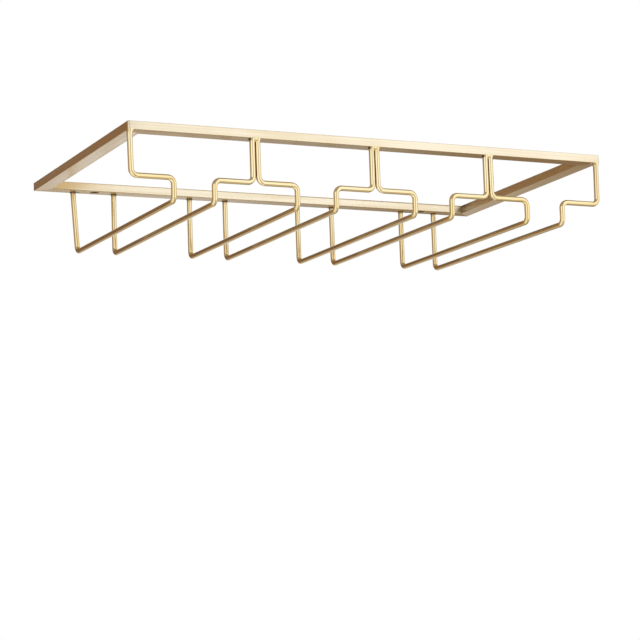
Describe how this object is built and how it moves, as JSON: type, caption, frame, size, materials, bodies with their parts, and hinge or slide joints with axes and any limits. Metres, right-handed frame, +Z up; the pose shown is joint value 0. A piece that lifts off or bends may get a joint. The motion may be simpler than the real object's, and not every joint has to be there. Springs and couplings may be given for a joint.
{
  "type": "hanging wine glass rack",
  "caption": "Gold wire rack that screws up under a cabinet and holds stemmed glasses upside down by their feet, in slots between bent rails.",
  "frame": {"origin": "centre of the frame's top plane, which is the plane of the cabinet's underside", "axes": "+X to the right along the front, +Y from the front to the back, +Z up out of the top faces into the cabinet"},
  "size_m": [0.43, 0.236, 0.0635],
  "materials": {
    "frame_gold": "satin gold finish on steel tube",
    "wire_gold": "satin gold finish on steel wire"
  },
  "bodies": {
    "root": {"front_bar": "frame_gold", "back_bar": "frame_gold", "left_bar": "frame_gold", "right_bar": "frame_gold", "slot_1_left_rail": "wire_gold", "slot_1_right_rail": "wire_gold", "slot_2_left_rail": "wire_gold", "slot_2_right_rail": "wire_gold", "slot_3_left_rail": "wire_gold", "slot_3_right_rail": "wire_gold", "slot_4_left_rail": "wire_gold", "slot_4_right_rail": "wire_gold"}
  },
  "joints": []
}
